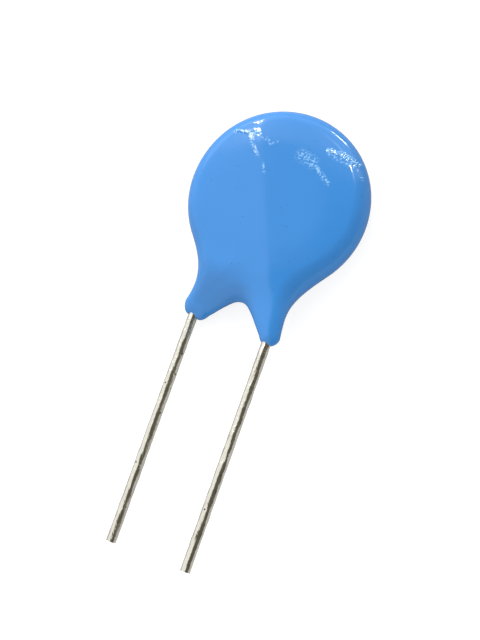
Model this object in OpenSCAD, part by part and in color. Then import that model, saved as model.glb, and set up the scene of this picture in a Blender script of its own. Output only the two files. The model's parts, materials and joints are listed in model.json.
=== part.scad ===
// Ceramic disc capacitor, radial and dipped, with two crossed straight leads.
//
// A round ceramic wafer carries a fired silver electrode on each face. One tinned wire is
// soldered across each electrode, and the whole is dipped in epoxy, which runs a little way
// down both wires and forms a skirt round each.
//
// The part lies on its rear face. Z runs up through the thickness of the disc, Y runs from
// the free ends of the leads towards the disc, and X runs across the leads. The origin is
// below the middle of the part, on the surface that it lies on.

/* [Ceramic and electrodes] */
// Diameter of the ceramic disc
ceramic_d = 8.9; // [8:0.1:14]
// Thickness of the ceramic disc
ceramic_t = 1.1; // [0.6:0.1:2]
// Width of the bare ceramic border round each electrode
electrode_margin = 0.4; // [0.2:0.1:1]
// Thickness of each fired silver electrode
electrode_t = 0.02; // [0.01:0.01:0.05]

/* [Leads] */
// Diameter of the tinned wire
wire_d = 0.6; // [0.4:0.05:0.8]
// Distance between the free stretches of the two leads, centre to centre
lead_pitch = 5.08; // [4.5:0.01:6.5]
// Distance from the disc's centre to the cut ends of the leads
lead_reach = 21; // [14:0.5:40]
// Offset of the pair of leads to the side of the disc's centre line
lead_offset = -0.2; // [-0.5:0.1:0.5]
// Distance below the disc's centre at which the two leads cross
cross_drop = 0.95; // [0.5:0.05:1.5]
// Distance below the coated rim at which the lines of a lead's two straight stretches meet
bend_drop = 1.7; // [1.3:0.05:1.8]
// Length of straight wire that the longer skirt covers before the bend starts
bend_cover = 0.05; // [0.02:0.01:0.1]
// How much smaller the wire's radius is round the bend, where forming has stretched it
bend_thinning = 0.01; // [0.01:0.005:0.02]
// Distance that each lead's inner end stays inside the edge of the ceramic
lead_inset = 0.45; // [0.3:0.05:1]

/* [Solder] */
// Thickness of the solder film between a wire and its electrode
solder_film = 0.03; // [0.02:0.01:0.06]
// Width of the solder where it wets the electrode
solder_w = 1.7; // [1.2:0.1:2.4]
// Length of the solder along the wire, between the centres of its round ends
solder_len = 4; // [2:0.1:5]
// Height of the solder at the flank of the wire
solder_h = 0.36; // [0.2:0.01:0.42]
// Height of the solder half way between the flank of the wire and its outer edge
solder_sag = 0.12; // [0.06:0.01:0.18]

/* [Coating over the disc] */
// Thickness of the coating outside the edge of the ceramic
coat_rim = 0.8; // [0.5:0.05:1.5]
// Thickness of the coating over the electrodes, away from the wires
coat_face = 0.53; // [0.4:0.01:0.8]
// Thickness of the coating over the top of each wire
coat_lead = 0.27; // [0.15:0.01:0.5]
// Fall of the coated face away from a wire, for each millimetre across
ridge_slope = 0.09; // [0.05:0.01:0.2]
// Rounding of the crest over each wire
ridge_round = 0.15; // [0.05:0.05:0.5]
// Width of the rounded border of the coating
border_w = 1.1; // [0.8:0.05:1.5]

/* [Coating skirts on the leads] */
// Length of the skirt on the front lead, below the coated rim
front_skirt_len = 2.7; // [2.5:0.05:3.2]
// Length of the skirt on the rear lead, below the coated rim
rear_skirt_len = 2.45; // [2.3:0.05:3]
// Radius of the tip of the front skirt, seen from the front
front_skirt_r = 0.65; // [0.55:0.05:1]
// Radius of the tip of the rear skirt, seen from the front
rear_skirt_r = 0.85; // [0.6:0.05:1]
// Offset of the front skirt's tip from its wire
front_skirt_shift = 0; // [-0.1:0.05:0.15]
// Offset of the rear skirt's tip from its wire
rear_skirt_shift = 0.25; // [-0.1:0.05:0.3]
// Thickness of the skirt over the top and the bottom of the wire
skirt_wall = 0.2; // [0.15:0.01:0.3]
// Radius of the root of each skirt, inside the disc's outline
root_r = 1.7; // [1.3:0.05:2]
// Distance of each root's centre from the disc's centre line
root_x = 1; // [0.5:0.05:1.5]
// Distance of each root's centre inside the coated rim
root_depth = 0.95; // [0.5:0.05:1.5]
// Softness of the corner between the disc and the skirts
neck_blend = 1.75; // [1:0.05:2]
// Softness of the corner between the two skirts
notch_blend = 0.85; // [0.3:0.05:1.2]
// Distance inside the coated rim at which the faces start to close on the skirts
taper_start = 1.2; // [0.8:0.05:1.6]
// Distance below the coated rim at which the faces have closed on the skirts
taper_end = 1.4; // [1:0.05:1.6]

/* [Hidden] */

// Number of sides of the turned shapes
round_fn = 96;
// How far the bent stretch of a wire runs on inside each straight stretch
bend_overlap = 0.1;

FRONT = 1;
REAR = -1;

ceramic_r = ceramic_d / 2;
electrode_r = ceramic_r - electrode_margin;
wire_r = wire_d / 2;
coat_r = ceramic_r + coat_rim;

// Heights above the middle plane of the disc
electrode_top = ceramic_t / 2 + electrode_t;
wire_z = electrode_top + solder_film + wire_r;
crest_z = wire_z + wire_r + coat_lead;
face_z = electrode_top + coat_face;

// Each lead comes up straight, bends round bend_y and slants across the disc through the
// crossing point. The bend starts just inside the longer skirt, so that all the free wire
// is straight.
bend_y = -coat_r - bend_drop;
bend_start = bend_cover - coat_r - max(front_skirt_len, rear_skirt_len);
cross = [lead_offset, -cross_drop];
front_x = lead_offset + lead_pitch / 2;
rear_x = lead_offset - lead_pitch / 2;
slant = atan((lead_pitch / 2) / (cross.y - bend_y));
bend_trim = bend_y - bend_start;
bend_r = bend_trim / tan(slant / 2);

// Length of a lead past the crossing point, to a circle inside the ceramic's edge.
// A positive side is the front lead, which slants to the left.
function slant_dir(side) = [-side * sin(slant), cos(slant)];
function lead_past_cross(side) =
    let (along = cross * slant_dir(side), hold_r = ceramic_r - lead_inset)
    sqrt(hold_r * hold_r - cross * cross + along * along) - along;
function lead_x(side) = side == FRONT ? front_x : rear_x;
function inner_end(side) = cross + lead_past_cross(side) * slant_dir(side);
function bend_point(side) = [lead_x(side), bend_y];

// ---------------------------------------------------------------- coating surface

function clamp(v, low, high) = min(max(v, low), high);
function soft_step(t) =
    let (c = clamp(t, 0, 1))
    c * c * (3 - 2 * c);

// The smaller of two values, rounded where they are closer than k
function soft_min(a, b, k) =
    let (h = clamp(0.5 + 0.5 * (b - a) / k, 0, 1))
    b * (1 - h) + a * h - k * h * (1 - h);
function soft_max(a, b, k) = -soft_min(-a, -b, k);

// Share of the way from a to b at which a point is nearest to that line
function share_along(p, a, b) = clamp((p - a) * (b - a) / ((b - a) * (b - a)), 0, 1);
function gap_to_line(p, a, b) = norm(p - a - share_along(p, a, b) * (b - a));

// A skirt, seen from the front, is a round bar that widens from its tip to its root
function skirt_gap(p, tip, tip_r, root) =
    gap_to_line(p, tip, root) - tip_r - share_along(p, tip, root) * (root_r - tip_r);

root_y = root_depth - coat_r;
front_tip = [front_x + front_skirt_shift, -coat_r - front_skirt_len + front_skirt_r];
rear_tip = [rear_x + rear_skirt_shift, -coat_r - rear_skirt_len + rear_skirt_r];

// Distance to the coating's outline, seen from the front: negative inside
function outline_gap(p) =
    let (
        front_skirt = skirt_gap(p, front_tip, front_skirt_r, [root_x, root_y]),
        rear_skirt = skirt_gap(p, rear_tip, rear_skirt_r, [-root_x, root_y]),
        skirts = soft_min(front_skirt, rear_skirt, notch_blend)
    )
    soft_min(norm(p) - coat_r, skirts, neck_blend);

// Distance from the crossing point to the outline, found by halving
search_steps = 24;
search_max = 2 * coat_r;
function reach(dir, low = 0, high = search_max, step = 0) =
    let (middle = (low + high) / 2)
    step == search_steps ? middle
    : outline_gap(cross + middle * dir) < 0 ? reach(dir, middle, high, step + 1)
    : reach(dir, low, middle, step + 1);

// How far a point has moved from the disc, 0, to the skirts, 1
function taper(p) =
    soft_step((taper_start - coat_r - p.y) / (taper_start + taper_end));

// Height of the middle of the skirts: up round the front lead, down round the rear one
function skirt_mid(p) =
    wire_z * sin(90 * clamp((p.x - lead_offset) / (lead_pitch / 2), -1, 1));

// Height of the coated face, with its ridge over the wire, on the side given
ridge_blend = 0.05;
function face_height(p, side) =
    let (
        across = gap_to_line(p, bend_point(side), inner_end(side)),
        fall = ridge_slope * (sqrt(across * across + ridge_round * ridge_round) - ridge_round)
    )
    soft_max(face_z, crest_z - fall, ridge_blend);

// Share of its full height that the coating has at a point of the rounded border
function border_share(p) =
    let (inward = clamp(-outline_gap(p) / border_w, 0, 1))
    sqrt(1 - (1 - inward) * (1 - inward));

function coat_height(p, side) =
    let (
        t = taper(p),
        middle = t * skirt_mid(p),
        on_disc = side * face_height(p, side),
        on_skirt = skirt_mid(p) + side * (wire_r + skirt_wall),
        full = (1 - t) * on_disc + t * on_skirt
    )
    middle + (full - middle) * border_share(p);

// Directions from the crossing point: close together over the skirts, wider over the
// disc, and always one along each ridge
skirt_splits = 14;
skirt_extra = 12;
side_splits = 22;
top_splits = 10;
fine_step = slant / skirt_splits;
half_fine = (skirt_splits + skirt_extra) * fine_step;
side_span = 180 - slant - half_fine;
directions = concat(
    [for (i = [-skirt_splits - skirt_extra : skirt_splits + skirt_extra - 1]) 270 + i * fine_step],
    [for (i = [0 : side_splits - 1]) half_fine - 90 + i * side_span / side_splits],
    [for (i = [0 : top_splits - 1]) 90 - slant + i * 2 * slant / top_splits],
    [for (i = [0 : side_splits - 1]) 90 + slant + i * side_span / side_splits]
);

// Rings of points, from the crossing point out to the rim
face_rings = 11;
border_rings = 6;
rim_ring = face_rings + border_rings;
function ring_reach(full, ring) =
    ring <= face_rings ? (full - border_w) * ring / face_rings
    : full - border_w + border_w * sin(90 * (ring - face_rings) / border_rings);

module coating_outside() {
    spokes = [for (a = directions) let (d = [cos(a), sin(a)]) [d, reach(d)]];
    count = len(spokes);
    function spot(spoke, ring) = cross + ring_reach(spoke[1], ring) * spoke[0];
    function ring_points(ring, side) = [
        for (s = spokes)
            let (p = spot(s, ring))
            [p.x, p.y, ring == rim_ring ? taper(p) * skirt_mid(p) : coat_height(p, side)]
    ];
    points = concat(
        [[cross.x, cross.y, coat_height(cross, FRONT)]],
        [for (ring = [1 : rim_ring]) each ring_points(ring, FRONT)],
        [for (ring = [rim_ring - 1 : -1 : 1]) each ring_points(ring, REAR)],
        [[cross.x, cross.y, coat_height(cross, REAR)]]
    );
    rings = 2 * rim_ring - 1;
    last = len(points) - 1;
    function id(ring, i) = 1 + ring * count + i % count;
    // Two triangles for the square a, b, c, d, split along its more level diagonal
    function rise(a, b) = abs(points[a].z - points[b].z);
    function halves(a, b, c, d) =
        rise(a, c) < rise(b, d) ? [[a, b, c], [a, c, d]] : [[a, b, d], [b, c, d]];
    faces = concat(
        [for (i = [0 : count - 1]) [0, id(0, i + 1), id(0, i)]],
        [for (ring = [0 : rings - 2], i = [0 : count - 1])
            each halves(id(ring, i), id(ring, i + 1), id(ring + 1, i + 1), id(ring + 1, i))],
        [for (i = [0 : count - 1]) [last, id(rings - 1, i), id(rings - 1, i + 1)]]
    );
    polyhedron(points, faces);
}

// ---------------------------------------------------------------- pieces on the disc

// Turns a front piece round to the rear face, about the line midway between the leads
module on_side(side) {
    if (side == FRONT)
        children();
    else
        translate([2 * lead_offset, 0, 0])
            rotate([0, 180, 0])
                children();
}

module electrode(side) {
    base = side == FRONT ? ceramic_t / 2 : -ceramic_t / 2 - electrode_t;
    translate([0, 0, base])
        cylinder(r = electrode_r, h = electrode_t, $fn = round_fn);
}

// Wire from the cut end to the inner end: straight, bend, slanted stretch
module lead(side) {
    straight = bend_start + lead_reach;
    slanted = norm(inner_end(side) - bend_point(side)) - bend_trim;
    run_on = bend_overlap / bend_r * 180 / PI;
    on_side(side)
        translate([front_x, -lead_reach, wire_z]) {
            rotate([-90, 0, 0])
                cylinder(r = wire_r, h = straight, $fn = round_fn);
            translate([-bend_r, straight, 0]) {
                rotate([0, 0, -run_on])
                    rotate_extrude(angle = slant + 2 * run_on, $fn = round_fn)
                        translate([bend_r, 0])
                            circle(r = wire_r - bend_thinning, $fn = round_fn);
                rotate([0, 0, slant])
                    translate([bend_r, 0, 0])
                        rotate([-90, 0, 0])
                            cylinder(r = wire_r, h = slanted, $fn = round_fn);
            }
        }
}

// Half of the fillet's section: the wire covers its inner end
function solder_section() = [
    [0, 0],
    [solder_w / 2, 0],
    [(solder_w / 2 + wire_r) / 2, solder_sag],
    [wire_r, solder_h],
    [0, solder_h],
];

// Fillet along the wire, with half-round ends, before the wire is taken out of it
module solder_mound(side) {
    on_side(side)
        translate([cross.x, cross.y, electrode_top])
            rotate([0, 0, slant]) {
                for (turn = [0, 180])
                    rotate([0, 0, turn]) {
                        translate([0, solder_len / 2, 0])
                            rotate_extrude(angle = 180, $fn = round_fn)
                                polygon(solder_section());
                        translate([0, solder_len / 2, 0])
                            rotate([90, 0, 0])
                                linear_extrude(height = solder_len)
                                    polygon(solder_section());
                    }
            }
}

module solder(side) {
    difference() {
        solder_mound(side);
        lead(side);
    }
}

// Puts the pieces on the surface that the part lies on, with the origin at the middle
module lying() {
    translate([0, (lead_reach - coat_r) / 2, crest_z])
        children();
}

// ---------------------------------------------------------------- nodes

module coating() {
    color("#4a8fdc")
        lying()
            difference() {
                coating_outside();
                cylinder(r = ceramic_r, h = ceramic_t, center = true, $fn = round_fn);
                for (side = [FRONT, REAR]) {
                    electrode(side);
                    solder_mound(side);
                    lead(side);
                }
            }
}

module ceramic_disc() {
    color("#d8c9a8")
        lying()
            cylinder(r = ceramic_r, h = ceramic_t, center = true, $fn = round_fn);
}

module front_electrode() {
    color("#cfd0cc")
        lying()
            electrode(FRONT);
}

module rear_electrode() {
    color("#cfd0cc")
        lying()
            electrode(REAR);
}

module front_solder() {
    color("#9fa3a6")
        lying()
            solder(FRONT);
}

module rear_solder() {
    color("#9fa3a6")
        lying()
            solder(REAR);
}

module front_lead() {
    color("#b9b4a8")
        lying()
            lead(FRONT);
}

module rear_lead() {
    color("#b9b4a8")
        lying()
            lead(REAR);
}

coating();
ceramic_disc();
front_electrode();
rear_electrode();
front_solder();
rear_solder();
front_lead();
rear_lead();
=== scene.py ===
"""Looks of a radial ceramic disc capacitor: a blue dipped body on two crossed tinned leads.

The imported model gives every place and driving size. The coating and the leads are modelled
again here with finer meshes of the same form, and the sealed pieces inside keep their solids.
The shape classes work in millimetres from the disc's centre, with the leads towards -Y and the
front face up, and every mesh is laid into the frame in metres at the end.
"""
import json
import logging
import math
from dataclasses import dataclass, field
from enum import IntEnum
from typing import NamedTuple

import bpy
import numpy as np
from mathutils import Matrix, Vector, noise


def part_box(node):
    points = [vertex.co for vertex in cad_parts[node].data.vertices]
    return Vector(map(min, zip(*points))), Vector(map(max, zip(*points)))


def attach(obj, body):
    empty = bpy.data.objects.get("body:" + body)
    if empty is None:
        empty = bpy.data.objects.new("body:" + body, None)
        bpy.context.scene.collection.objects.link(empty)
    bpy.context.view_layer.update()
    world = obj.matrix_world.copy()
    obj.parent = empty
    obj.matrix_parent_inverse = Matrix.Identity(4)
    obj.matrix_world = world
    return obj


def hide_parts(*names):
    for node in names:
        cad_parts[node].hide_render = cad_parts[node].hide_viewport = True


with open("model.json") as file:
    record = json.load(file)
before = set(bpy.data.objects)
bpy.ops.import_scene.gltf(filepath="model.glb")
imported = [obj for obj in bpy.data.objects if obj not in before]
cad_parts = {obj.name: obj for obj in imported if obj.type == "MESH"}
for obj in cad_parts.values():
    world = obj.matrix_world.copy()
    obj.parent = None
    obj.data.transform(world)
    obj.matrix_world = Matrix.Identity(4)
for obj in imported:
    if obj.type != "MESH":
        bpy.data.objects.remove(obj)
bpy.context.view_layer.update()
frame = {"nodes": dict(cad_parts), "record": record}

Tree = bpy.types.NodeTree
Socket = bpy.types.NodeSocket
Piece = bpy.types.Object

LOG = logging.getLogger("capacitor")
MM = 0.001
BODY = "root"
PAINTED_SHEEN = "painted_sheen"            # vertex attribute: how pale the coating's skin is painted, a painted sheen for the crinkles' highlights
HALVINGS = 24            # they find the outline to under a millionth of a millimetre


class Side(IntEnum):
    """Face of the disc that a piece lies on. The value is the sign of its height."""

    FRONT = 1
    REAR = -1


# ---------------------------------------------------------------- small tools


def linear(code: str) -> tuple[float, float, float, float]:
    """Turn an sRGB colour into the linear one that shaders work in.

    Args:
        code: The colour as "#rrggbb".

    Returns:
        Linear red, green, blue and an alpha of 1.
    """
    shares = [int(code[start:start + 2], 16) / 255 for start in (1, 3, 5)]
    channels = [s / 12.92 if s <= 0.04045 else ((s + 0.055) / 1.055) ** 2.4 for s in shares]
    return (*channels, 1.0)


def add_node(
    tree: Tree, kind: str, inputs: dict | None = None, **settings: object
) -> bpy.types.Node:
    """Add a node with its settings, values and links.

    Args:
        tree: The node tree that the node goes into.
        kind: The node's type, such as "ShaderNodeTexNoise".
        inputs: A value, or an output socket to link, for each input by name or number.
        **settings: The node's own properties.

    Returns:
        The new node.
    """
    node = tree.nodes.new(kind)
    for name, value in settings.items():
        setattr(node, name, value)
    for name, value in (inputs or {}).items():
        if isinstance(value, Socket):
            tree.links.new(value, node.inputs[name])
        else:
            node.inputs[name].default_value = value
    return node


def new_material(name: str) -> tuple[bpy.types.Material, Tree]:
    """Make an empty node material.

    Args:
        name: The material's name.

    Returns:
        The material and its node tree.
    """
    material = bpy.data.materials.new(name)
    material.use_nodes = True
    material.node_tree.nodes.clear()
    return material, material.node_tree


def grain(tree: Tree, size_mm: float, detail: float = 2.0) -> Socket:
    """Add soft noise on the piece's own coordinates.

    Args:
        tree: The node tree that the noise goes into.
        size_mm: Width of one lump of the noise.
        detail: Number of finer layers on top.

    Returns:
        The noise value, about 0.5 on average.
    """
    place = add_node(tree, "ShaderNodeTexCoord").outputs["Object"]
    lumps = {"Vector": place, "Scale": 1 / (size_mm * MM), "Detail": detail}
    return add_node(tree, "ShaderNodeTexNoise", lumps).outputs["Fac"]


def pits(tree: Tree, gap_mm: float, radius_mm: float) -> Socket:
    """Scatter small round pits.

    Args:
        tree: The node tree that the pits go into.
        gap_mm: Usual distance between the pits.
        radius_mm: Radius of the widest pit.

    Returns:
        1 at the middle of a pit and 0 outside it.
    """
    place = add_node(tree, "ShaderNodeTexCoord").outputs["Object"]
    cells = add_node(tree, "ShaderNodeTexVoronoi", {"Vector": place, "Scale": 1 / (gap_mm * MM)})
    edge = radius_mm / gap_mm
    inside = {"Value": cells.outputs["Distance"], "From Min": edge, "From Max": edge / 2}
    return add_node(tree, "ShaderNodeMapRange", inside).outputs["Result"]


def soft_step(t: np.ndarray) -> np.ndarray:
    """Blend smoothly from 0 to 1 while t goes from 0 to 1."""
    c = np.clip(t, 0, 1)
    return c * c * (3 - 2 * c)


def softer_step(t: np.ndarray) -> np.ndarray:
    """Blend from 0 to 1 while t goes from 0 to 1, with no corner in the slope either."""
    c = np.clip(t, 0, 1)
    return c**3 * (c * (6 * c - 15) + 10)


def soft_min(a: np.ndarray, b: np.ndarray, k: float) -> np.ndarray:
    """Take the smaller of two values, rounded where they are closer than k."""
    h = np.clip(0.5 + 0.5 * (b - a) / k, 0, 1)
    return b * (1 - h) + a * h - k * h * (1 - h)


def soft_max(a: np.ndarray, b: np.ndarray, k: float) -> np.ndarray:
    """Take the larger of two values, rounded where they are closer than k."""
    return -soft_min(-a, -b, k)


def share_along(p: np.ndarray, a: np.ndarray, b: np.ndarray) -> np.ndarray:
    """Find the share of the way from a to b at which each point is nearest to that line."""
    return np.clip((p - a) @ (b - a) / ((b - a) @ (b - a)), 0, 1)


def gap_to_line(p: np.ndarray, a: np.ndarray, b: np.ndarray) -> np.ndarray:
    """Find the distance of each point from the line between a and b."""
    return np.linalg.norm(p - a - share_along(p, a, b)[..., None] * (b - a), axis=-1)


def deselect() -> None:
    """Leave edit mode and select nothing."""
    if bpy.context.object and bpy.context.object.mode != "OBJECT":
        bpy.ops.object.mode_set(mode="OBJECT")
    bpy.ops.object.select_all(action="DESELECT")


def read_vectors(parts: bpy.types.bpy_prop_collection, what: str) -> np.ndarray:
    """Read one vector for each vertex or face of a mesh.

    Args:
        parts: The vertices or the faces.
        what: "co" or "center" for places, "normal" for normals.

    Returns:
        The vectors, one row each.
    """
    flat = np.empty(len(parts) * 3)
    parts.foreach_get(what, flat)
    return flat.reshape(-1, 3)


def read_points(piece: Piece) -> np.ndarray:
    """Read the place of each vertex of a mesh."""
    return read_vectors(piece.data.vertices, "co")


def read_normals(piece: Piece) -> np.ndarray:
    """Read the normal at each vertex of a mesh."""
    return read_vectors(piece.data.vertices, "normal")


def write_points(piece: Piece, points: np.ndarray) -> None:
    """Put each vertex of a mesh in its place.

    Args:
        piece: The mesh object.
        points: The places, one row each.
    """
    piece.data.vertices.foreach_set("co", points.ravel())
    piece.data.update()


def select_faces(piece: Piece, chosen: np.ndarray) -> None:
    """Enter edit mode with only some faces of the active mesh selected.

    Args:
        piece: The mesh object.
        chosen: Whether each face is selected.
    """
    bpy.ops.object.mode_set(mode="EDIT")
    bpy.ops.mesh.select_mode(type="FACE")
    bpy.ops.mesh.select_all(action="DESELECT")
    bpy.ops.object.mode_set(mode="OBJECT")
    piece.data.polygons.foreach_set("select", chosen)
    bpy.ops.object.mode_set(mode="EDIT")


def sink_in_waves(piece: Piece, depth: float, length: float | np.ndarray) -> None:
    """Sink a surface a little in slow waves, always inwards.

    Args:
        piece: The mesh object, in millimetres.
        depth: Depth of the deepest wave.
        length: Length of a wave, or its length along each axis.
    """
    points = read_points(piece)
    waves = np.array([noise.noise(Vector(p)) for p in points / length])
    depths = depth * (1 + waves) / 2
    write_points(piece, points - read_normals(piece) * depths[:, None])


# ---------------------------------------------------------------- sizes


@dataclass(frozen=True)
class Anatomy:
    """Driving sizes of the part, in millimetres from the disc's centre.

    The centre itself is in metres in the frame.
    """

    centre: Vector
    ceramic_r: float
    coat_r: float
    crest_z: float
    wire_r: float
    wire_z: float
    lead_x: dict[Side, float]
    lead_end_y: float
    straight_end_y: float

    @classmethod
    def measure(cls, record: dict) -> "Anatomy":
        """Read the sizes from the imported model.

        Args:
            record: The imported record, whose mounts give the axes of the leads.

        Returns:
            The sizes.
        """
        low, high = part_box("ceramic_disc")
        centre = (low + high) / 2
        _, coat_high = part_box("coating")
        lead_low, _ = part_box("front_lead")
        pins = {mount["name"]: mount for mount in record["mounts"]}
        front = (Vector(pins["front_lead_pin"]["pos_m"]) - centre) / MM
        rear = (Vector(pins["rear_lead_pin"]["pos_m"]) - centre) / MM
        wire = pins["front_lead_pin"]["dims"]
        return cls(
            centre=centre,
            ceramic_r=(high.x - low.x) / 2 / MM,
            coat_r=(coat_high.y - centre.y) / MM,
            crest_z=(coat_high.z - centre.z) / MM,
            wire_r=wire["r_mm"],
            wire_z=front.z,
            lead_x={Side.FRONT: front.x, Side.REAR: rear.x},
            lead_end_y=(lead_low.y - centre.y) / MM,
            straight_end_y=front.y + wire["length_mm"] / 2,
        )

    def lay(self, piece: Piece) -> None:
        """Move a mesh from millimetres about the disc's centre into the frame."""
        write_points(piece, read_points(piece) * MM + np.array(self.centre))


@dataclass(frozen=True)
class LeadLine:
    """Middle line of the two wires, which cross on the disc.

    Attributes:
        sizes: Driving sizes of the part.
        cross_drop: Distance below the disc's centre at which the leads cross.
        bend_drop: Distance below the coated rim at which a lead's two stretches meet.
        inset: Distance of each inner end inside the ceramic's edge.
    """

    sizes: Anatomy
    cross_drop: float = 0.95
    bend_drop: float = 1.7
    inset: float = 0.45

    @property
    def cross(self) -> np.ndarray:
        """Point over which the leads cross, seen from the front."""
        return np.array([sum(self.sizes.lead_x.values()) / 2, -self.cross_drop])

    @property
    def pitch(self) -> float:
        """Distance between the two leads."""
        return self.sizes.lead_x[Side.FRONT] - self.sizes.lead_x[Side.REAR]

    @property
    def bend_y(self) -> float:
        """Height on the disc's face at which the two stretches of a lead meet."""
        return -self.sizes.coat_r - self.bend_drop

    @property
    def slant(self) -> float:
        """Angle of the slanted stretch, in radians."""
        return math.atan2(self.pitch / 2, self.cross[1] - self.bend_y)

    def heading(self, side: Side) -> np.ndarray:
        """Direction of a slanted stretch, away from its bend."""
        return np.array([-side * math.sin(self.slant), math.cos(self.slant)])

    def bend_point(self, side: Side) -> np.ndarray:
        """Corner at which the two stretches of a lead would meet."""
        return np.array([self.sizes.lead_x[side], self.bend_y])

    def inner_end(self, side: Side) -> np.ndarray:
        """Find the inner end of a lead, on a circle inside the ceramic's edge.

        Args:
            side: The face that the lead lies on.

        Returns:
            The point seen from the front.
        """
        hold_r = self.sizes.ceramic_r - self.inset
        along = self.cross @ self.heading(side)
        past = math.sqrt(hold_r**2 - self.cross @ self.cross + along**2) - along
        return self.cross + past * self.heading(side)


@dataclass(frozen=True)
class CoatingForm:
    """The outer surface of the dipped coating, as a height over each point of the disc.

    Attributes:
        line: Middle line of the wires.
        face_z: Height of the faces above the disc's middle plane.
        ridge_slope: Fall of a face away from its wire, for each millimetre across.
        ridge_round: Rounding of the crest over each wire.
        ridge_blend: Rounding of the foot of a ridge.
        border_w: Width of the rounded border.
        dome_w: Width of the zone inside the rim over which a face falls gently.
        dome_drop: Share of a face's height that it has lost at the rim.
        skirt_len: Length of each skirt below the rim.
        skirt_r: Radius of each skirt's tip.
        skirt_shift: Offset of each tip from its wire.
        arch: Depth of the small arch that each tip leaves over its wire.
        arch_w: Half width of that arch.
        skirt_wall: Thickness over the top and the bottom of the wire.
        root_r: Radius of the root of each skirt.
        root_x: Distance of the roots from the disc's middle.
        root_depth: Distance of the roots inside the rim.
        neck_blend: Softness of the corner between the disc and the skirts.
        notch_blend: Softness of the corner between the two skirts.
        taper_start: Distance inside the rim at which its edge starts to follow the leads.
        taper_end: Distance below the rim at which the edge has reached the skirts' middle.
        fall_start: Distance inside the rim at which the faces start to fall to the skirts.
        fall_end: Distance below the rim at which they have reached the skirts.
    """

    line: LeadLine
    face_z: float = 1.10
    ridge_slope: float = 0.09
    ridge_round: float = 0.15
    ridge_blend: float = 0.05
    border_w: float = 0.85
    dome_w: float = 2.4
    dome_drop: float = 0.2
    skirt_len: dict[Side, float] = field(default_factory=lambda: {Side.FRONT: 2.85, Side.REAR: 2.5})
    skirt_r: dict[Side, float] = field(default_factory=lambda: {Side.FRONT: 0.62, Side.REAR: 0.88})
    skirt_shift: dict[Side, float] = field(default_factory=lambda: {Side.FRONT: 0.05, Side.REAR: 0.17})
    arch: dict[Side, float] = field(default_factory=lambda: {Side.FRONT: 0.0, Side.REAR: 0.2})
    arch_w: float = 0.3
    skirt_wall: float = 0.2
    root_r: float = 1.7
    root_x: float = 1.0
    root_depth: float = 0.95
    neck_blend: float = 1.75
    notch_blend: float = 0.85
    taper_start: float = 1.2
    taper_end: float = 1.4
    fall_start: float = 1.0
    fall_end: float = 2.4

    def skirt_gap(self, p: np.ndarray, side: Side) -> np.ndarray:
        """Distance to one skirt, a round bar that widens from its tip to its root.

        Args:
            p: Points seen from the front, one row each.
            side: The face that the skirt's lead lies on.

        Returns:
            The distance of each point, negative inside.
        """
        sizes = self.line.sizes
        tip_r = self.skirt_r[side]
        tip_x = sizes.lead_x[side] + self.skirt_shift[side]
        tip = np.array([tip_x, tip_r - sizes.coat_r - self.skirt_len[side]])
        root = np.array([side * self.root_x, self.root_depth - sizes.coat_r])
        share = share_along(p, tip, root)
        bar = gap_to_line(p, tip, root) - tip_r - share * (self.root_r - tip_r)
        below = soft_step((tip[1] - p[..., 1]) / tip_r)
        over_wire = np.exp(-(((p[..., 0] - sizes.lead_x[side]) / self.arch_w) ** 2))
        return bar + self.arch[side] * below * over_wire

    def outline_gap(self, p: np.ndarray) -> np.ndarray:
        """Distance to the coating's outline.

        Args:
            p: Points seen from the front, one row each.

        Returns:
            The distance of each point, negative inside.
        """
        skirts = soft_min(*(self.skirt_gap(p, side) for side in Side), self.notch_blend)
        disc = np.linalg.norm(p, axis=-1) - self.line.sizes.coat_r
        return soft_min(disc, skirts, self.neck_blend)

    def reach(self, bearings: np.ndarray) -> np.ndarray:
        """Find the distance from the crossing point to the outline by halving.

        Args:
            bearings: Directions in radians from +X.

        Returns:
            The distance in each direction.
        """
        ways = np.stack([np.cos(bearings), np.sin(bearings)], axis=-1)
        low = np.zeros_like(bearings)
        high = np.full_like(bearings, 2 * self.line.sizes.coat_r)
        for _ in range(HALVINGS):
            middle = (low + high) / 2
            inside = self.outline_gap(self.line.cross + middle[..., None] * ways) < 0
            low = np.where(inside, middle, low)
            high = np.where(inside, high, middle)
        return (low + high) / 2

    def taper(self, p: np.ndarray) -> np.ndarray:
        """Share by which a point has moved from the disc, 0, to the skirts, 1."""
        start = self.taper_start - self.line.sizes.coat_r
        return soft_step((start - p[..., 1]) / (self.taper_start + self.taper_end))

    def fall(self, p: np.ndarray) -> np.ndarray:
        """Share by which the faces have fallen from the disc, 0, to the skirts, 1."""
        start = self.fall_start - self.line.sizes.coat_r
        return softer_step((start - p[..., 1]) / (self.fall_start + self.fall_end))

    def skirt_mid(self, p: np.ndarray) -> np.ndarray:
        """Height of the middle of the skirts: up round the front lead, down round the other."""
        across = (p[..., 0] - self.line.cross[0]) / (self.line.pitch / 2)
        return self.line.sizes.wire_z * np.sin(np.clip(across, -1, 1) * math.pi / 2)

    def face_height(self, p: np.ndarray, side: Side) -> np.ndarray:
        """Height of a coated face, with its ridge over the wire.

        Args:
            p: Points seen from the front, one row each.
            side: The face.

        Returns:
            The height above the disc's middle plane, without its sign.
        """
        across = gap_to_line(p, self.line.bend_point(side), self.line.inner_end(side))
        fall = self.ridge_slope * (np.sqrt(across**2 + self.ridge_round**2) - self.ridge_round)
        ridge = self.line.sizes.crest_z - fall
        return soft_max(np.full_like(ridge, self.face_z), ridge, self.ridge_blend)

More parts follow.
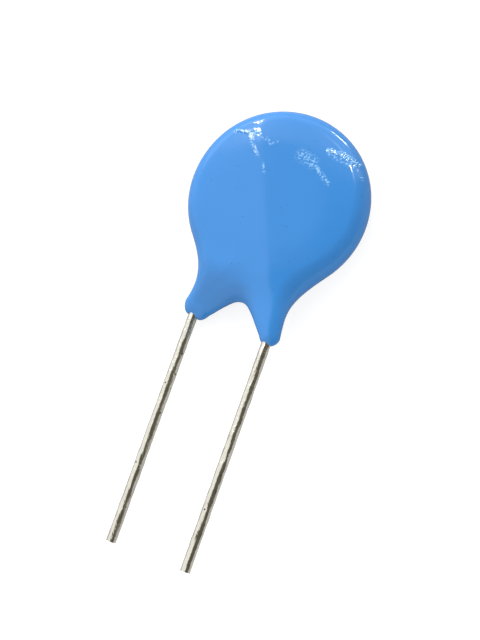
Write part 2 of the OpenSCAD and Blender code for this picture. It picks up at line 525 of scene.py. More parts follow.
    def height(self, p: np.ndarray, side: Side) -> np.ndarray:
        """Height of the coating above the disc's middle plane.

        Args:
            p: Points seen from the front, one row each.
            side: The face.

        Returns:
            The height at each point, negative on the rear face.
        """
        middle = self.taper(p) * self.skirt_mid(p)
        fall = self.fall(p)
        on_disc = side * self.face_height(p, side)
        on_skirt = self.skirt_mid(p) + side * (self.line.sizes.wire_r + self.skirt_wall)
        full = (1 - fall) * on_disc + fall * on_skirt
        depth = -self.outline_gap(p)
        inward = np.clip(depth / self.border_w, 0, 1)
        dome = 1 - self.dome_drop * (1 - fall) * np.clip(1 - depth / self.dome_w, 0, 1) ** 2
        return middle + (full - middle) * dome * np.sqrt(1 - (1 - inward) ** 2)


@dataclass(frozen=True)
class Crinkle:
    """A place where the skin of the coating crinkled as it cured.

    Attributes:
        start: One end, in millimetres from the disc's centre.
        end: The other end.
        width: Distance from the line between them at which the wrinkles have faded.
        fold: Height of the fold that runs along the line.
        wrinkles: Height of the finer wrinkles round it.
        grain: Width of one of those wrinkles.
        fold_w: Half width of the fold.
        painted_sheen: How pale the fine dots of painted sheen are there, painted in place of the
            crinkles' highlights.
    """

    start: tuple[float, float]
    end: tuple[float, float]
    width: float
    fold: float
    wrinkles: float
    grain: float = 0.18
    fold_w: float = 0.1
    painted_sheen: float = 0.0

    def gap(self, p: np.ndarray) -> np.ndarray:
        """Distance of each point, seen from the front, from the line of the crinkle."""
        return gap_to_line(p, np.array(self.start), np.array(self.end))


def pleats(
    start: tuple[float, float], end: tuple[float, float], count: int, length: float, fold: float
) -> tuple[Crinkle, ...]:
    """Set short folds side by side, each across the line from start to end.

    Args:
        start: Where the first fold crosses the line, in millimetres from the disc's centre.
        end: Where the last fold crosses it.
        count: Number of folds.
        length: Length of a fold.
        fold: Height of a fold.

    Returns:
        The folds.
    """
    a, b = np.array(start), np.array(end)
    half = length / 2 * np.array([a[1] - b[1], b[0] - a[0]]) / np.linalg.norm(b - a)
    middles = [a + (b - a) * share for share in np.linspace(0, 1, count)]
    # Each fold gets pale dots of painted sheen in place of its highlights.
    return tuple(
        Crinkle(
            tuple(middle - half), tuple(middle + half), width=0.13, fold=fold,
            wrinkles=fold / 2, grain=0.1, fold_w=0.055, painted_sheen=0.9,
        )
        for middle in middles
    )


@dataclass(frozen=True)
class CrinkledSkin:
    """All the crinkles of the coating's front face, as a height that is added to it.

    Attributes:
        crinkles: Where the skin crinkled.
        stray: How far a fold strays from its line.
        stray_mm: Distance along a fold over which it strays.
        dot_mm: Width of a dot of painted sheen.
        dot_start: Level of the noise at which a dot starts.
        dot_full: Level at which it is at its palest.
        dot_height: Height at which the noise for the dots is read.
        stray_heights: The two heights at which the noise for a fold's stray is read.
    """

    # The keyword at the end of a crinkle paints pale dots of sheen in place of its highlights; the
    # crinkle from (2.10, 3.12) carries only that painted sheen.
    crinkles: tuple[Crinkle, ...] = (
        Crinkle((-3.42, 2.94), (-2.62, 3.02), 0.20, 0.034, 0.022, 0.14, painted_sheen=1.0),
        Crinkle((-2.66, 3.02), (-2.32, 3.20), 0.16, 0.026, 0.024, 0.12, 0.07, painted_sheen=1.0),
        Crinkle((-2.32, 3.20), (-1.96, 3.10), 0.16, 0.026, 0.024, 0.12, 0.06, painted_sheen=1.0),
        Crinkle((-2.52, 2.90), (-2.16, 2.97), 0.16, 0.026, 0.024, 0.12, 0.06, painted_sheen=1.0),
        Crinkle((-2.48, 2.86), (-2.02, 2.27), 0.18, 0.030, 0.026, 0.14, painted_sheen=1.0),
        Crinkle((-2.02, 2.27), (-1.62, 1.86), 0.18, 0.032, 0.028, 0.14, painted_sheen=1.0),
        Crinkle((-1.96, 3.05), (-1.50, 2.90), 0.14, 0.0, 0.008, 0.08, painted_sheen=0.5),
        Crinkle((-1.19, 1.58), (-0.93, 1.02), 0.12, 0.0, 0.010, 0.12, painted_sheen=0.8),
        Crinkle((-1.50, 3.00), (-1.16, 2.73), 0.16, 0.0, 0.006, 0.10, painted_sheen=0.6),
        Crinkle((-1.16, 2.73), (-0.74, 3.04), 0.14, 0.0, 0.007, 0.10, painted_sheen=0.5),
        Crinkle((0.75, 2.60), (1.40, 2.40), 0.56, 0.0, 0.0050, 0.085, painted_sheen=0.7),
        Crinkle((1.50, 2.35), (2.64, 1.50), 0.22, 0.0, 0.0060, 0.085, painted_sheen=0.9),
        *pleats((2.02, 3.34), (2.64, 3.30), 6, 0.16, 0.020),
        *pleats((2.74, 3.34), (3.84, 3.02), 10, 0.30, 0.025),
        Crinkle((2.10, 3.12), (3.70, 2.80), 0.20, 0.0, 0.0, painted_sheen=0.6),
        Crinkle((-2.45, 3.74), (-1.88, 4.12), 0.14, 0.0, 0.012, 0.09),
        Crinkle((3.95, 2.80), (4.30, 2.35), 0.14, 0.0, 0.012, painted_sheen=0.8),
    )
    stray: float = 0.07
    stray_mm: float = 0.3
    dot_mm: float = 0.11
    dot_start: float = -0.15
    dot_full: float = 0.35
    dot_height: float = 1.0
    stray_heights: tuple[float, float] = (4.3, 11.7)

    def near(self, p: np.ndarray, margin: float = 0.0) -> np.ndarray:
        """Tell which points, seen from the front, lie on a crinkle or within a margin of one."""
        return np.any([c.gap(p) < c.width + margin for c in self.crinkles], axis=0)

    def stray_at(self, q: Vector) -> tuple[float, float]:
        """Share by which a fold strays in X and in Y at a place, from -1 to 1."""
        first, second = self.stray_heights
        return noise.noise(q + Vector((0, 0, first))), noise.noise(q + Vector((0, 0, second)))

    def lift(self, p: np.ndarray) -> np.ndarray:
        """Find the height that the crinkles add.

        Args:
            p: Points seen from the front, one row each.

        Returns:
            The added height at each point.
        """
        lift = np.zeros(len(p))
        for crinkle in self.crinkles:
            near = crinkle.gap(p) < crinkle.width
            spots = [Vector((*q, 0)) for q in p[near]]
            strays = np.array([self.stray_at(q / self.stray_mm) for q in spots])
            fine = np.array([noise.noise(q / crinkle.grain) for q in spots])
            fade = 1 - soft_step(crinkle.gap(p[near]) / crinkle.width)
            gap = crinkle.gap(p[near] + self.stray * strays)
            fold = crinkle.fold * np.exp(-((gap / crinkle.fold_w) ** 2))
            lift[near] += fade * (fold + crinkle.wrinkles * fine)
        return lift

    def painted_sheen(self, p: np.ndarray) -> np.ndarray:
        """Find how pale the dots of painted sheen are, painted in place of the crinkles' highlights.

        Args:
            p: Points seen from the front, one row each.

        Returns:
            0 on clear skin and 1 on the palest dots, for each point.
        """
        painted_sheen = np.zeros(len(p))
        for crinkle in self.crinkles:
            if crinkle.painted_sheen == 0:
                continue
            near = crinkle.gap(p) < crinkle.width
            spots = [Vector((*q, self.dot_height)) for q in p[near]]
            fine = np.array([noise.noise(q / self.dot_mm) for q in spots])
            fade = 1 - soft_step(crinkle.gap(p[near]) / crinkle.width)
            dots = soft_step((fine - self.dot_start) / (self.dot_full - self.dot_start))
            painted_sheen[near] = np.maximum(painted_sheen[near], crinkle.painted_sheen * fade * dots)
        return painted_sheen


# ---------------------------------------------------------------- finishes


@dataclass(frozen=True)
class DippedEpoxy:
    """Pigmented epoxy, dipped twice and cured in an oven.

    It is opaque and glossy. The cure leaves a slight orange peel, a few pinholes and faint
    clouds in the pigment. Pale dots of painted sheen stand in for the crinkles' highlights.

    Attributes:
        colour: The pigment.
        cloud: The pigment where it lies thicker.
        speck: Inside of a pinhole.
        painted_sheen: Pale colour of the painted sheen dots, painted on the crinkles in place of their
            highlights.
        speck_gap_mm: Usual distance between the pinholes.
        speck_mm: Radius of the widest pinhole.
        cloud_mm: Width of a cloud.
        peel_mm: Width of a bump of the orange peel.
        peel_depth_mm: Depth of the orange peel.
        roughness: How dull the gloss is.
        ior: Refractive index of cured epoxy.
    """

    colour: str = "#3e89d4"
    cloud: str = "#3a86d0"
    speck: str = "#3572b8"
    painted_sheen: str = "#9dd2fa"
    speck_gap_mm: float = 0.65
    speck_mm: float = 0.052
    cloud_mm: float = 2.2
    peel_mm: float = 0.7
    peel_depth_mm: float = 0.004
    roughness: float = 0.1
    ior: float = 1.5

    def material(self) -> bpy.types.Material:
        """Build the material.

        Returns:
            The material, under the name of what it is.
        """
        material, tree = new_material("dipped_epoxy")
        clouds = add_node(tree, "ShaderNodeMix", {
            "Factor": grain(tree, self.cloud_mm),
            "A": linear(self.colour),
            "B": linear(self.cloud),
        }, data_type="RGBA")
        pigment = add_node(tree, "ShaderNodeMix", {
            "Factor": pits(tree, self.speck_gap_mm, self.speck_mm),
            "A": clouds.outputs["Result"],
            "B": linear(self.speck),
        }, data_type="RGBA")
        # Painted sheen: pale dots mixed into the colour where the crinkles would catch the light.
        painted_sheen_mix = add_node(tree, "ShaderNodeMix", {
            "Factor": add_node(tree, "ShaderNodeAttribute", attribute_name=PAINTED_SHEEN).outputs["Fac"],
            "A": pigment.outputs["Result"],
            "B": linear(self.painted_sheen),
        }, data_type="RGBA")
        peel = add_node(tree, "ShaderNodeBump", {
            "Height": grain(tree, self.peel_mm), "Distance": self.peel_depth_mm * MM,
        })
        shader = add_node(tree, "ShaderNodeBsdfPrincipled", {
            "Base Color": painted_sheen_mix.outputs["Result"],
            "Roughness": self.roughness,
            "IOR": self.ior,
            "Normal": peel.outputs["Normal"],
        })
        add_node(tree, "ShaderNodeOutputMaterial", {"Surface": shader.outputs["BSDF"]})
        return material


@dataclass(frozen=True)
class TinnedCopper:
    """Copper wire, hot tinned: a bright warm grey with small lumps in the tin and dark nicks.

    Attributes:
        colour: The tin.
        nick: Dull oxide in a nick.
        nick_gap_mm: Usual distance between the nicks.
        nick_mm: Radius of the widest nick.
        roughness: How dull the tin is.
        lump_mm: Width of a small lump in the tin.
        lump_depth_mm: Depth of those lumps.
    """

    colour: str = "#ebe8dd"
    nick: str = "#3e392e"
    nick_gap_mm: float = 0.5
    nick_mm: float = 0.07
    roughness: float = 0.12
    lump_mm: float = 0.12
    lump_depth_mm: float = 0.02

    def material(self) -> bpy.types.Material:
        """Build the material.

        Returns:
            The material, under the name of what it is.
        """
        material, tree = new_material("tinned_copper")
        lumps = add_node(tree, "ShaderNodeBump", {
            "Height": grain(tree, self.lump_mm), "Distance": self.lump_depth_mm * MM,
        })
        tint = add_node(tree, "ShaderNodeMix", {
            "Factor": pits(tree, self.nick_gap_mm, self.nick_mm),
            "A": linear(self.colour),
            "B": linear(self.nick),
        }, data_type="RGBA")
        shader = add_node(tree, "ShaderNodeBsdfPrincipled", {
            "Base Color": tint.outputs["Result"],
            "Metallic": 1.0,
            "Roughness": self.roughness,
            "Normal": lumps.outputs["Normal"],
        })
        add_node(tree, "ShaderNodeOutputMaterial", {"Surface": shader.outputs["BSDF"]})
        return material


@dataclass(frozen=True)
class PressedFinish:
    """A plain inner finish: fired ceramic, silver paste or solder, with its own grain.

    Attributes:
        name: What the material is.
        colour: Its colour.
        dark: Its colour in the hollows of the grain.
        grain_mm: Width of the grain.
        metallic: 1 for a metal.
        roughness: How dull it is.
    """

    name: str
    colour: str
    dark: str
    grain_mm: float
    metallic: float
    roughness: float

    def material(self) -> bpy.types.Material:
        """Build the material.

        Returns:
            The material, under the name of what it is.
        """
        material, tree = new_material(self.name)
        tint = add_node(tree, "ShaderNodeMix", {
            "Factor": grain(tree, self.grain_mm),
            "A": linear(self.colour),
            "B": linear(self.dark),
        }, data_type="RGBA")
        shader = add_node(tree, "ShaderNodeBsdfPrincipled", {
            "Base Color": tint.outputs["Result"],
            "Metallic": self.metallic,
            "Roughness": self.roughness,
        })
        add_node(tree, "ShaderNodeOutputMaterial", {"Surface": shader.outputs["BSDF"]})
        return material


# ---------------------------------------------------------------- pieces


@dataclass
class Coating:
    """The dipped coating: one closed skin over the disc with a skirt round each lead.

    Attributes:
        form: The shape of its surface.
        finish: The finish of the epoxy.
        skirt_spokes: Spokes between the two ridges, over the skirts.
        side_spokes: Spokes on each side of the disc.
        top_spokes: Spokes between the two ridges, at the top.
        rings: Rings from the crossing point to the rim.
        face_share: Share of the rings that lie inside the rounded border.
        ripple_mm: Length of the waves that dipping leaves.
        ripple_depth: Depth of those waves.
        crinkled: Where the skin crinkled.
        fine_cuts: Cuts across each face where the skin crinkled.
        fine_margin: Distance past a crinkle over which the faces are fine too.
        front_lean: Least upward share of the normal of a face that belongs to the front.
    """

    form: CoatingForm
    finish: DippedEpoxy = DippedEpoxy()
    skirt_spokes: int = 120
    side_spokes: int = 140
    top_spokes: int = 80
    rings: int = 60
    face_share: float = 0.75
    ripple_mm: float = 2.5
    ripple_depth: float = 0.02
    crinkled: CrinkledSkin = CrinkledSkin()
    fine_cuts: int = 4
    fine_margin: float = 0.1
    front_lean: float = 0.3

    def bearings(self, turns: np.ndarray) -> np.ndarray:
        """Spread the spokes of a ball so that four of them run along the two ridges.

        Args:
            turns: Share of a full turn at which each spoke stands on the ball.

        Returns:
            The bearing of each spoke on the disc, in radians from +X.
        """
        slant, up = self.form.line.slant, math.pi / 2
        counts = [0, self.skirt_spokes, self.side_spokes, self.top_spokes, self.side_spokes]
        knots = np.cumsum(counts) / sum(counts)
        ridges = [-up - slant, slant - up, up - slant, up + slant, 3 * up - slant]
        return np.interp(turns, knots, ridges)

    def skin(self) -> Piece:
        """Make the skin from a ball whose poles lie over the leads' crossing point.

        No operator gives the dipped surface, so each vertex of the ball is moved to its
        place on it.

        Returns:
            The skin, in millimetres.
        """
        deselect()
        spokes = self.skirt_spokes + 2 * self.side_spokes + self.top_spokes
        bpy.ops.mesh.primitive_uv_sphere_add(segments=spokes, ring_count=2 * self.rings, radius=1)
        skin = bpy.context.object
        ball = read_points(skin)
        turns = np.round(np.arctan2(ball[:, 1], ball[:, 0]) / (2 * math.pi) * spokes) / spokes % 1
        tilt = np.arccos(np.clip(ball[:, 2], -1, 1)) / (math.pi / 2)
        share = np.round(np.where(tilt > 1, 2 - tilt, tilt) * self.rings) / self.rings
        bearings = self.bearings(turns)
        full = self.form.reach(bearings)
        face = full - self.form.border_w
        border = np.clip((share - self.face_share) / (1 - self.face_share), 0, 1)
        on_face = face * np.minimum(share / self.face_share, 1)
        distance = on_face + self.form.border_w * np.sin(border * math.pi / 2)
        ways = np.stack([np.cos(bearings), np.sin(bearings)], axis=-1)
        spots = self.form.line.cross + distance[:, None] * ways
        front, rear = (self.form.height(spots, side) for side in Side)
        heights = np.where(tilt <= 1, front, rear)
        rim = self.form.taper(spots) * self.form.skirt_mid(spots)
        heights = np.where(share >= 1, rim, heights)
        write_points(skin, np.column_stack([spots, heights]))
        return skin

    def refine(self, skin: Piece) -> None:
        """Cut the faces finer where the skin crinkled, and lift the new vertices onto it.

        Args:
            skin: The coating, in millimetres.
        """
        faces = skin.data.polygons
        in_front = read_vectors(faces, "normal")[:, 2] > self.front_lean
        middles = read_vectors(faces, "center")[:, :2]
        select_faces(skin, in_front & self.crinkled.near(middles, self.fine_margin))
        bpy.ops.mesh.subdivide(number_cuts=self.fine_cuts, ngon=False)
        bpy.ops.object.mode_set(mode="OBJECT")
        points = read_points(skin)
        spots = points[:, :2]
        inside = (points[:, 2] > 0) & self.crinkled.near(spots, self.fine_margin)
        points[inside, 2] = self.form.height(spots[inside], Side.FRONT)
        write_points(skin, points)

    def crinkle(self, skin: Piece) -> None:
        """Raise the folds and wrinkles on the front face, and mark where sheen is painted on it.

        Args:
            skin: The coating, in millimetres.
        """
        points, normals = read_points(skin), read_normals(skin)
        spots = (points[:, 2] > 0) & self.crinkled.near(points[:, :2])
        # painted sheen: pale dots that stand in for the crinkles' highlights
        painted_sheen = np.zeros(len(points))
        painted_sheen[spots] = self.crinkled.painted_sheen(points[spots, :2])
        skin.data.attributes.new(PAINTED_SHEEN, "FLOAT", "POINT").data.foreach_set("value", painted_sheen)
        lift = self.crinkled.lift(points[spots, :2])
        points[spots] += normals[spots] * lift[:, None]
        write_points(skin, points)

    def build(self) -> Piece:
        """Build and dress the coating.

        Returns:
            The finished piece.
        """
        skin = self.skin()
        self.refine(skin)
        sink_in_waves(skin, self.ripple_depth, self.ripple_mm)
        self.crinkle(skin)
        bpy.ops.object.shade_smooth()
        self.form.line.sizes.lay(skin)
        skin.name = skin.data.name = "dipped_coating"
        skin.data.materials.append(self.finish.material())
        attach(skin, BODY)
        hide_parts("coating")
        return skin


@dataclass
class Lead:
    """One tinned wire: a straight stretch, a gentle bend and a stretch slanted over the disc.

    Attributes:
        side: The face that the wire is soldered to.
        line: Middle line of the wires.
        finish: The finish of the wire.
        facets: Faces round the wire.
        step: Length of a face along the wire.
        bend_steps: Faces along the bend.
        lump: Depth of the low lumps that tinning leaves.
        lump_w: Width of a lump.
        lump_len: Length of a lump along the wire.
        facing: Least share of its normal along the wire by which the end face is known.
        weld: Distance under which doubled vertices merge.
        smooth_angle: Edges sharper than this stay sharp, in degrees.
    """

    side: Side
    line: LeadLine
    finish: TinnedCopper = TinnedCopper()
    facets: int = 48
    step: float = 0.1
    bend_steps: int = 16
    lump: float = 0.045
    lump_w: float = 0.16
    lump_len: float = 0.5
    facing: float = 0.9
    weld: float = 0.0001
    smooth_angle: float = 40.0

    def wire(self) -> Piece:
        """Draw the wire out from a short cylinder, bend it and draw it on.

        Returns:
            The wire, in millimetres.
        """
        deselect()
        sizes, side = self.line.sizes, self.side
        x, z = sizes.lead_x[side], side * sizes.wire_z
        straight = sizes.straight_end_y - sizes.lead_end_y
        steps = round(straight / self.step)
        step = straight / steps
        bpy.ops.mesh.primitive_cylinder_add(
            vertices=self.facets,
            radius=sizes.wire_r,
            depth=step,
            location=(x, sizes.lead_end_y + step / 2, z),
            rotation=(-math.pi / 2, 0, 0),
        )
        bpy.ops.object.transform_apply(location=True, rotation=True, scale=True)
        wire = bpy.context.object
        select_faces(wire, read_vectors(wire.data.polygons, "normal")[:, 1] > self.facing)
        for _ in range(steps - 1):
            bpy.ops.mesh.extrude_region_move(TRANSFORM_OT_translate={"value": (0, step, 0)})
        trim = self.line.bend_y - sizes.straight_end_y
        bend_r = trim / math.tan(self.line.slant / 2)
        bpy.ops.mesh.spin(
            steps=self.bend_steps,
            angle=-side * self.line.slant,
            center=(x - side * bend_r, sizes.straight_end_y, z),
            axis=(0, 0, 1),
        )
        rest = np.linalg.norm(self.line.inner_end(side) - self.line.bend_point(side)) - trim
        steps = round(rest / self.step)
        move = (*(self.line.heading(side) * rest / steps), 0)
        for _ in range(steps):
            bpy.ops.mesh.extrude_region_move(TRANSFORM_OT_translate={"value": move})
        bpy.ops.mesh.select_all(action="SELECT")
        bpy.ops.mesh.remove_doubles(threshold=self.weld)
        bpy.ops.mesh.normals_make_consistent(inside=False)
        bpy.ops.object.mode_set(mode="OBJECT")
        return wire

    def build(self) -> Piece:
        """Build and dress the lead.

        Returns:
            The finished piece.
        """
        wire = self.wire()
        sink_in_waves(wire, self.lump, np.array([self.lump_w, self.lump_len, self.lump_w]))
        bpy.ops.object.shade_smooth_by_angle(angle=math.radians(self.smooth_angle))
        self.line.sizes.lay(wire)
        name = self.side.name.lower()
        wire.name = wire.data.name = f"{name}_tinned_lead"
        wire.data.materials.append(self.finish.material())
        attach(wire, BODY)
        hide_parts(f"{name}_lead")
        return wire


@dataclass
class SealedPieces:
    """The wafer, electrodes and solder, which the coating hides. They keep their solids.

    Attributes:
        ceramic: Fired ceramic: cream and matt, with a fine grain.
        silver: Fired silver paste: pale grey and dull.
        solder: Solder that has flowed and set: grey with a soft shine.
    """

    ceramic: PressedFinish = PressedFinish("fired_ceramic", "#d8c9a8", "#c9b78f", 0.15, 0.0, 0.7)
    silver: PressedFinish = PressedFinish("fired_silver_paste", "#cfd0cc", "#b5b6b1", 0.08, 1.0, 0.5)
    solder: PressedFinish = PressedFinish("soft_solder", "#a9adb0", "#8f9396", 0.3, 1.0, 0.3)

    def dress(self) -> list[Piece]:
        """Give each solid the finish of what it is made of.

        Returns:
            The finished pieces.
        """
        finishes = {
            self.ceramic: ("ceramic_disc",),
            self.silver: ("front_electrode", "rear_electrode"),
            self.solder: ("front_solder", "rear_solder"),
        }
        dressed = []
        for finish, names in finishes.items():
            material = finish.material()
            for piece in (frame["nodes"][name] for name in names):
                for slot in piece.material_slots:
                    slot.material = material
                dressed.append(piece)
        return dressed


# ---------------------------------------------------------------- studio


def rising_light(tree: Tree, towards: Vector, start: float, end: float, light: float) -> Socket:
    """Add light that grows towards one direction.

    Args:
        tree: The world's node tree.
        towards: The direction, of length 1.
        start: Share of that direction at which the light starts.
        end: Share at which it is full.
        light: The full light.

    Returns:
        The light in each direction.
    """
    way = add_node(tree, "ShaderNodeTexCoord").outputs["Generated"]
    share = add_node(tree, "ShaderNodeVectorMath", {0: way, 1: towards}, operation="DOT_PRODUCT")
    rise = {"Value": share.outputs["Value"], "From Min": start, "From Max": end, "To Max": light}
    rising = add_node(tree, "ShaderNodeMapRange", rise, interpolation_type="SMOOTHSTEP")
    return rising.outputs["Result"]


def ray_kinds(tree: Tree) -> tuple[Socket, Socket]:
    """Tell what the light ray comes from.

    Args:
        tree: The node tree that asks.

    Returns:
        1 for the camera's own rays, and 1 for rays by which gloss or glass shows something.
    """
    rays = add_node(tree, "ShaderNodeLightPath").outputs
    through = {0: rays["Is Glossy Ray"], 1: rays["Is Transmission Ray"]}
    mirrored = add_node(tree, "ShaderNodeMath", through, operation="MAXIMUM")
    return rays["Is Camera Ray"], mirrored.outputs[0]


class Axes(NamedTuple):
    """The camera's directions, each of length 1: right, to the top and back to the camera."""

    right: Vector
    up: Vector
    back: Vector

    def blend(self, right: float, up: float, back: float) -> Vector:
        """Add up shares of the three directions."""
        return self.right * right + self.up * up + self.back * back


@dataclass(frozen=True)
class Camera:
    """A camera that looks down on the part, with the leads towards the lower left.

    Attributes:
        yaw: Turn of the view towards +X, in degrees.
        pitch: Turn of the view towards -Y, in degrees.
        roll: Turn about its own axis, in degrees.
        distance: Distance from the aim, in metres.
        aim: The point at the middle of the view, in millimetres from the frame's origin
            seen from above, at the height of the disc's middle.
        lens: Focal length in millimetres.
    """

    yaw: float = 16.25
    pitch: float = 6.8
    roll: float = 19.76
    distance: float = 0.08
    aim: tuple[float, float] = (0.226, 0.82)
    lens: float = 81.0

    def axes(self) -> Axes:
        """Find how the camera is turned.

        Returns:
            Its directions.
        """
        yaw, pitch, roll = (math.radians(a) for a in (self.yaw, self.pitch, self.roll))
        level = math.cos(pitch)
        back = Vector((math.sin(yaw) * level, -math.sin(pitch), math.cos(yaw) * level))
        north = Vector((0, 1, 0))
        up = (north - back * north.dot(back)).normalized()
        right = up.cross(back)
        return Axes(
            right * math.cos(roll) + up * math.sin(roll),
            up * math.cos(roll) - right * math.sin(roll),
            back,
        )

    def build(self, height: float) -> None:
        """Set up the camera.

        Args:
            height: Height of the disc's middle above the table, in metres.
        """
        data = bpy.data.cameras.new("camera")
        data.lens = self.lens
        data.clip_start = MM
        camera = bpy.data.objects.new("camera", data)
        axes = self.axes()
        place = Vector((self.aim[0] * MM, self.aim[1] * MM, height)) + axes.back * self.distance
        camera.matrix_world = Matrix.Translation(place) @ Matrix(axes).transposed().to_4x4()
        bpy.context.scene.collection.objects.link(camera)
        bpy.context.scene.camera = camera


@dataclass(frozen=True)
class SoftBox:
    """A lamp with a soft face, aimed at the disc.

    Attributes:
        name: Its name.
        across: Where it stands to the right of the camera, in degrees seen from the disc.
        above: Where it stands above the camera, in degrees seen from the disc.
        distance: Its distance from the disc, in metres.
        width: Width of its face, in metres.
        depth: Depth of its face, in metres.
        watts: Its power.
        mirrored: Whether glossy surfaces show its face.
        lights: Whether it lights matt surfaces.
    """

    name: str
    across: float
    above: float
    distance: float
    width: float
    depth: float
    watts: float
    mirrored: bool = True
    lights: bool = True

    def place(self, target: Vector, axes: Axes) -> None:
        """Place the lamp and aim it.

        Args:
            target: The point it is aimed at, in the frame.
            axes: The camera's directions.
        """
        across, above = math.radians(self.across), math.radians(self.above)
        level = math.cos(above)
        away = axes.blend(math.sin(across) * level, math.sin(above), math.cos(across) * level)
        side = axes.up.cross(away)
        data = bpy.data.lights.new(self.name, "AREA")
        data.shape = "RECTANGLE"
        data.size, data.size_y = self.width, self.depth
        data.energy = self.watts
        lamp = bpy.data.objects.new(self.name, data)
        turn = Matrix((side.normalized(), away.cross(side).normalized(), away)).transposed()
        lamp.matrix_world = Matrix.Translation(target + away * self.distance) @ turn.to_4x4()
        lamp.visible_camera = False
        lamp.visible_glossy = self.mirrored
        lamp.visible_diffuse = self.lights
        bpy.context.scene.collection.objects.link(lamp)


@dataclass(frozen=True)
class Wall:
    """Light that grows towards one side of the room.

    Attributes:
        right: How far that side lies to the camera's right.
        up: How far it lies towards the top of the view.
        back: How far it lies behind the camera.
        start: Share of that direction at which the light starts.
        end: Share at which it is full.
        light: The full light.
    """

    right: float
    up: float
    back: float
    start: float
    end: float
    light: float

    def glow(self, tree: Tree, axes: Axes) -> Socket:
        """Add the light to the room, and return the socket that gives it."""
        towards = axes.blend(self.right, self.up, self.back).normalized()
        return rising_light(tree, towards, self.start, self.end, self.light)


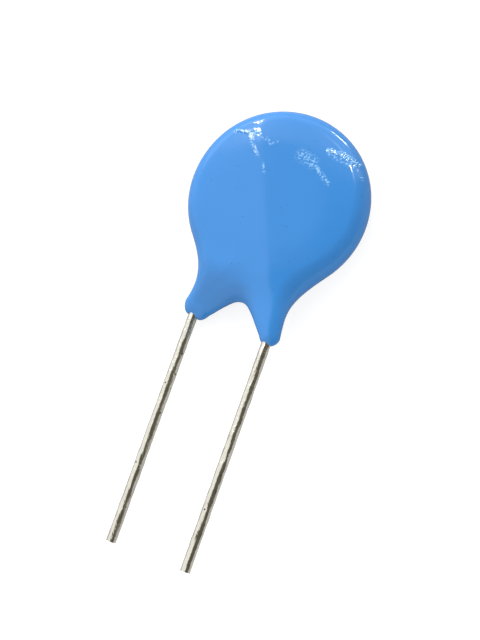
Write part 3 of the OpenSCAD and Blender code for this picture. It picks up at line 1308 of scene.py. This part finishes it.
@dataclass
class Studio:
    """A white table, soft boxes and a pale room round the part.

    Attributes:
        target: The disc's centre, in the frame.
        axes: The camera's directions.
        table: Colour of the table.
        seen_lift: White that is added to the table where the camera sees it.
        mirrored_lift: White that is added to it where gloss or glass shows it.
        table_size: Width of the table, in metres.
        overhead: Light of the room behind the camera.
        walls: Pale walls to the left, at the top and at the upper right.
        fill: Light from the lower right that reaches matt surfaces only.
        horizon: Shares of the downward direction at which the white background starts and
            is full, in the gloss.
        dim: Colour of the room's light where it is dim.
        boxes: The lamps.
    """

    target: Vector
    axes: Axes
    table: str = "#a6a6a6"
    seen_lift: float = 0.78
    mirrored_lift: float = 0.12
    table_size: float = 4.0
    overhead: float = 0.1
    walls: tuple[Wall, ...] = (
        Wall(-1.0, 0.0, 0.0, 0.08, 0.4, 0.85),
        Wall(0.0, 1.0, 0.0, 0.5, 0.62, 0.95),
        Wall(0.6, 0.8, 0.0, 0.3, 0.8, 0.22),
    )
    fill: Wall = Wall(0.75, -0.7, 0.3, 0.1, 0.9, 1.15)
    horizon: tuple[float, float] = (-0.08, 0.02)
    dim: str = "#fff6d8"
    boxes: tuple[SoftBox, ...] = (
        SoftBox("key_box", -83, 67, 0.28, 0.2, 0.2, 0.67, mirrored=False),
        SoftBox("left_glint", -38.5, 40.5, 0.28, 0.026, 0.008, 0.36, lights=False),
        SoftBox("top_glint", -49, 57, 0.28, 0.05, 0.016, 0.6, lights=False),
        SoftBox("right_glint", 8, 40.5, 0.28, 0.02, 0.014, 0.6, lights=False),
        SoftBox("far_glint", 54, 46, 0.28, 0.024, 0.018, 0.3, lights=False),
        SoftBox("rim_glint", 94, 60, 0.28, 0.01, 0.07, 0.12, lights=False),
    )

    def floor(self) -> None:
        """Lay the table, which looks white but keeps the part's shadow."""
        deselect()
        bpy.ops.mesh.primitive_plane_add(size=self.table_size)
        floor = bpy.context.object
        floor.name = "table"
        material, tree = new_material("white_table")
        seen, mirrored = ray_kinds(tree)
        lift = add_node(tree, "ShaderNodeMath", {0: seen, 1: self.seen_lift}, operation="MULTIPLY")
        lifts = {0: mirrored, 1: self.mirrored_lift, 2: lift.outputs[0]}
        lift = add_node(tree, "ShaderNodeMath", lifts, operation="MULTIPLY_ADD")
        matt = add_node(tree, "ShaderNodeBsdfDiffuse", {"Color": linear(self.table)})
        glow = add_node(tree, "ShaderNodeEmission", {"Strength": lift.outputs[0]})
        both = add_node(tree, "ShaderNodeAddShader", {0: matt.outputs[0], 1: glow.outputs[0]})
        add_node(tree, "ShaderNodeOutputMaterial", {"Surface": both.outputs["Shader"]})
        floor.data.materials.append(material)

    def room(self) -> None:
        """Light the room, which is dim behind the camera and pale to the left and the top.

        What lies low in the room is the white background, for the camera and in the gloss.
        """
        world = bpy.data.worlds.new("pale_room")
        bpy.context.scene.world = world
        world.use_nodes = True
        tree = world.node_tree
        tree.nodes.clear()
        light = self.overhead
        for wall in self.walls:
            sides = {0: light, 1: wall.glow(tree, self.axes)}
            light = add_node(tree, "ShaderNodeMath", sides).outputs[0]
        seen, mirrored = ray_kinds(tree)
        matt = add_node(tree, "ShaderNodeMath", {0: 1.0, 1: mirrored}, operation="SUBTRACT")
        fills = {0: matt.outputs[0], 1: self.fill.glow(tree, self.axes), 2: light}
        lit = add_node(tree, "ShaderNodeMath", fills, operation="MULTIPLY_ADD")
        low = {0: mirrored, 1: rising_light(tree, Vector((0, 0, -1)), *self.horizon, 1.0)}
        background = add_node(tree, "ShaderNodeMath", low, operation="MULTIPLY")
        whites = {0: seen, 1: background.outputs[0]}
        white = add_node(tree, "ShaderNodeMath", whites, operation="MAXIMUM")
        strengths = {"Factor": white.outputs[0], "A": lit.outputs[0], "B": 1.0}
        strength = add_node(tree, "ShaderNodeMix", strengths).outputs["Result"]
        tints = {"Factor": strength, "A": linear(self.dim), "B": linear("#ffffff")}
        tint = add_node(tree, "ShaderNodeMix", tints, data_type="RGBA").outputs["Result"]
        sky = add_node(tree, "ShaderNodeBackground", {"Color": tint, "Strength": strength})
        add_node(tree, "ShaderNodeOutputWorld", {"Surface": sky.outputs["Background"]})

    def build(self) -> None:
        """Set up the table, the room and the lamps."""
        self.floor()
        self.room()
        for box in self.boxes:
            box.place(self.target, self.axes)
        bpy.context.scene.view_settings.view_transform = "Standard"


def main() -> None:
    """Build and report every piece, then set up the camera and the studio."""
    logging.basicConfig(level=logging.INFO, format="%(message)s")
    sizes = Anatomy.measure(frame["record"])
    line = LeadLine(sizes)
    pieces = [Coating(CoatingForm(line)).build()]
    pieces += [Lead(side, line).build() for side in Side]
    pieces += SealedPieces().dress()
    for piece in pieces:
        finish = piece.active_material.name
        LOG.info("%s: %d faces of %s", piece.name, len(piece.data.polygons), finish)
    camera = Camera()
    camera.build(sizes.centre.z)
    Studio(sizes.centre, camera.axes()).build()


if __name__ == "__main__":
    main()
